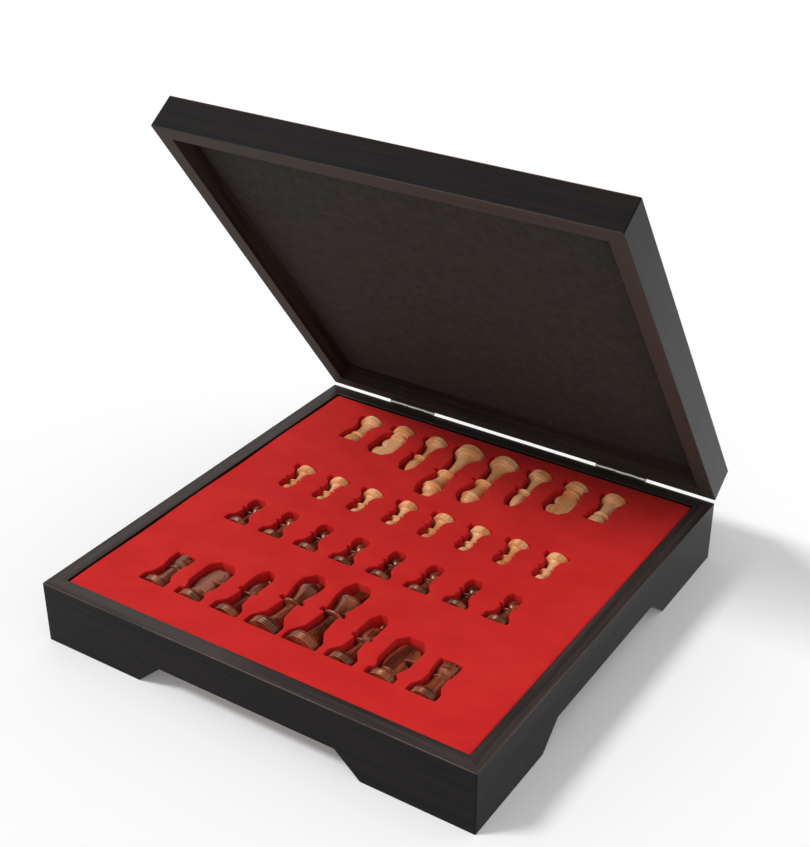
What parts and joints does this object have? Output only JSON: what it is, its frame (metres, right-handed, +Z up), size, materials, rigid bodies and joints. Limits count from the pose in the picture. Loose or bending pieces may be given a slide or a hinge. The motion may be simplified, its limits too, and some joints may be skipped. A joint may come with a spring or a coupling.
{
  "type": "chess box",
  "caption": "Square box on bracket feet, with an inlaid game board as its hinged lid and turned chessmen lying in a fitted tray.",
  "frame": {"origin": "middle of the case's square footprint, on the table", "axes": "+Z up, +Y from the front of the box to its hinges, +X to the right as seen from the front; the lid is half open at rest"},
  "size_m": [0.4, 0.425, 0.3996],
  "materials": {
    "dark_lacquered_wood": "near-black brown stain under gloss lacquer",
    "fibreboard": "plain brown fibreboard",
    "red_flock": "red velvet flock on moulded foam",
    "dark_lining": "near-black felt",
    "pearl_veneer": "white mother-of-pearl sheet under lacquer",
    "walnut_veneer": "brown straight-grained veneer under lacquer",
    "inlay_veneer": "strips and tiles of gold, brown, red and pearl",
    "plated_steel": "thin plated steel",
    "light_turned_wood": "light wood, satin lacquer",
    "dark_turned_wood": "dark red-brown wood, gloss lacquer"
  },
  "bodies": {
    "base": {"front_wall": "dark_lacquered_wood", "right_wall": "dark_lacquered_wood", "back_wall": "dark_lacquered_wood", "left_wall": "dark_lacquered_wood", "base_floor": "fibreboard", "foam_tray": "red_flock", "left_hinge_base_leaf": "plated_steel", "right_hinge_base_leaf": "plated_steel", "left_hinge_pin": "plated_steel", "right_hinge_pin": "plated_steel", "base_hinge_screws": "plated_steel"},
    "lid": {"lid_front_rail": "dark_lacquered_wood", "lid_right_rail": "dark_lacquered_wood", "lid_back_rail": "dark_lacquered_wood", "lid_left_rail": "dark_lacquered_wood", "board_panel": "fibreboard", "light_squares": "pearl_veneer", "dark_squares": "walnut_veneer", "rope_stringing": "inlay_veneer", "field_strips": "walnut_veneer", "marquetry_border": "inlay_veneer", "outer_strips": "walnut_veneer", "lid_lining": "dark_lining", "left_hinge_lid_leaf": "plated_steel", "right_hinge_lid_leaf": "plated_steel", "lid_hinge_screws": "plated_steel"},
    "dark_bishop_1": {"dark_bishop_1": "dark_turned_wood"},
    "dark_bishop_2": {"dark_bishop_2": "dark_turned_wood"},
    "dark_king": {"dark_king": "dark_turned_wood"},
    "dark_knight_1": {"dark_knight_1": "dark_turned_wood"},
    "dark_knight_2": {"dark_knight_2": "dark_turned_wood"},
    "dark_pawn_1": {"dark_pawn_1": "dark_turned_wood"},
    "dark_pawn_2": {"dark_pawn_2": "dark_turned_wood"},
    "dark_pawn_3": {"dark_pawn_3": "dark_turned_wood"},
    "dark_pawn_4": {"dark_pawn_4": "dark_turned_wood"},
    "dark_pawn_5": {"dark_pawn_5": "dark_turned_wood"},
    "dark_pawn_6": {"dark_pawn_6": "dark_turned_wood"},
    "dark_pawn_7": {"dark_pawn_7": "dark_turned_wood"},
    "dark_pawn_8": {"dark_pawn_8": "dark_turned_wood"},
    "dark_queen": {"dark_queen": "dark_turned_wood"},
    "dark_rook_1": {"dark_rook_1": "dark_turned_wood"},
    "dark_rook_2": {"dark_rook_2": "dark_turned_wood"},
    "light_bishop_1": {"light_bishop_1": "light_turned_wood"},
    "light_bishop_2": {"light_bishop_2": "light_turned_wood"},
    "light_king": {"light_king": "light_turned_wood"},
    "light_knight_1": {"light_knight_1": "light_turned_wood"},
    "light_knight_2": {"light_knight_2": "light_turned_wood"},
    "light_pawn_1": {"light_pawn_1": "light_turned_wood"},
    "light_pawn_2": {"light_pawn_2": "light_turned_wood"},
    "light_pawn_3": {"light_pawn_3": "light_turned_wood"},
    "light_pawn_4": {"light_pawn_4": "light_turned_wood"},
    "light_pawn_5": {"light_pawn_5": "light_turned_wood"},
    "light_pawn_6": {"light_pawn_6": "light_turned_wood"},
    "light_pawn_7": {"light_pawn_7": "light_turned_wood"},
    "light_pawn_8": {"light_pawn_8": "light_turned_wood"},
    "light_queen": {"light_queen": "light_turned_wood"},
    "light_rook_1": {"light_rook_1": "light_turned_wood"},
    "light_rook_2": {"light_rook_2": "light_turned_wood"}
  },
  "joints": [
    {"name": "lid_hinge", "type": "hinge", "parent": "base", "child": "lid", "pos_m": [0, 0.2021, 0.05515], "axis": [-1, 0, 0], "range_deg": [-54.5, 45.5]},
    {"name": "lift_dark_bishop_1", "type": "slide", "parent": "base", "child": "dark_bishop_1", "axis": [0, 0, 1], "range_m": [0, 0.032]},
    {"name": "lift_dark_bishop_2", "type": "slide", "parent": "base", "child": "dark_bishop_2", "axis": [0, 0, 1], "range_m": [0, 0.032]},
    {"name": "lift_dark_king", "type": "slide", "parent": "base", "child": "dark_king", "axis": [0, 0, 1], "range_m": [0, 0.032]},
    {"name": "lift_dark_knight_1", "type": "slide", "parent": "base", "child": "dark_knight_1", "axis": [0, 0, 1], "range_m": [0, 0.032]},
    {"name": "lift_dark_knight_2", "type": "slide", "parent": "base", "child": "dark_knight_2", "axis": [0, 0, 1], "range_m": [0, 0.032]},
    {"name": "lift_dark_pawn_1", "type": "slide", "parent": "base", "child": "dark_pawn_1", "axis": [0, 0, 1], "range_m": [0, 0.032]},
    {"name": "lift_dark_pawn_2", "type": "slide", "parent": "base", "child": "dark_pawn_2", "axis": [0, 0, 1], "range_m": [0, 0.032]},
    {"name": "lift_dark_pawn_3", "type": "slide", "parent": "base", "child": "dark_pawn_3", "axis": [0, 0, 1], "range_m": [0, 0.032]},
    {"name": "lift_dark_pawn_4", "type": "slide", "parent": "base", "child": "dark_pawn_4", "axis": [0, 0, 1], "range_m": [0, 0.032]},
    {"name": "lift_dark_pawn_5", "type": "slide", "parent": "base", "child": "dark_pawn_5", "axis": [0, 0, 1], "range_m": [0, 0.032]},
    {"name": "lift_dark_pawn_6", "type": "slide", "parent": "base", "child": "dark_pawn_6", "axis": [0, 0, 1], "range_m": [0, 0.032]},
    {"name": "lift_dark_pawn_7", "type": "slide", "parent": "base", "child": "dark_pawn_7", "axis": [0, 0, 1], "range_m": [0, 0.032]},
    {"name": "lift_dark_pawn_8", "type": "slide", "parent": "base", "child": "dark_pawn_8", "axis": [0, 0, 1], "range_m": [0, 0.032]},
    {"name": "lift_dark_queen", "type": "slide", "parent": "base", "child": "dark_queen", "axis": [0, 0, 1], "range_m": [0, 0.032]},
    {"name": "lift_dark_rook_1", "type": "slide", "parent": "base", "child": "dark_rook_1", "axis": [0, 0, 1], "range_m": [0, 0.032]},
    {"name": "lift_dark_rook_2", "type": "slide", "parent": "base", "child": "dark_rook_2", "axis": [0, 0, 1], "range_m": [0, 0.032]},
    {"name": "lift_light_bishop_1", "type": "slide", "parent": "base", "child": "light_bishop_1", "axis": [0, 0, 1], "range_m": [0, 0.032]},
    {"name": "lift_light_bishop_2", "type": "slide", "parent": "base", "child": "light_bishop_2", "axis": [0, 0, 1], "range_m": [0, 0.032]},
    {"name": "lift_light_king", "type": "slide", "parent": "base", "child": "light_king", "axis": [0, 0, 1], "range_m": [0, 0.032]},
    {"name": "lift_light_knight_1", "type": "slide", "parent": "base", "child": "light_knight_1", "axis": [0, 0, 1], "range_m": [0, 0.032]},
    {"name": "lift_light_knight_2", "type": "slide", "parent": "base", "child": "light_knight_2", "axis": [0, 0, 1], "range_m": [0, 0.032]},
    {"name": "lift_light_pawn_1", "type": "slide", "parent": "base", "child": "light_pawn_1", "axis": [0, 0, 1], "range_m": [0, 0.032]},
    {"name": "lift_light_pawn_2", "type": "slide", "parent": "base", "child": "light_pawn_2", "axis": [0, 0, 1], "range_m": [0, 0.032]},
    {"name": "lift_light_pawn_3", "type": "slide", "parent": "base", "child": "light_pawn_3", "axis": [0, 0, 1], "range_m": [0, 0.032]},
    {"name": "lift_light_pawn_4", "type": "slide", "parent": "base", "child": "light_pawn_4", "axis": [0, 0, 1], "range_m": [0, 0.032]},
    {"name": "lift_light_pawn_5", "type": "slide", "parent": "base", "child": "light_pawn_5", "axis": [0, 0, 1], "range_m": [0, 0.032]},
    {"name": "lift_light_pawn_6", "type": "slide", "parent": "base", "child": "light_pawn_6", "axis": [0, 0, 1], "range_m": [0, 0.032]},
    {"name": "lift_light_pawn_7", "type": "slide", "parent": "base", "child": "light_pawn_7", "axis": [0, 0, 1], "range_m": [0, 0.032]},
    {"name": "lift_light_pawn_8", "type": "slide", "parent": "base", "child": "light_pawn_8", "axis": [0, 0, 1], "range_m": [0, 0.032]},
    {"name": "lift_light_queen", "type": "slide", "parent": "base", "child": "light_queen", "axis": [0, 0, 1], "range_m": [0, 0.032]},
    {"name": "lift_light_rook_1", "type": "slide", "parent": "base", "child": "light_rook_1", "axis": [0, 0, 1], "range_m": [0, 0.032]},
    {"name": "lift_light_rook_2", "type": "slide", "parent": "base", "child": "light_rook_2", "axis": [0, 0, 1], "range_m": [0, 0.032]}
  ]
}
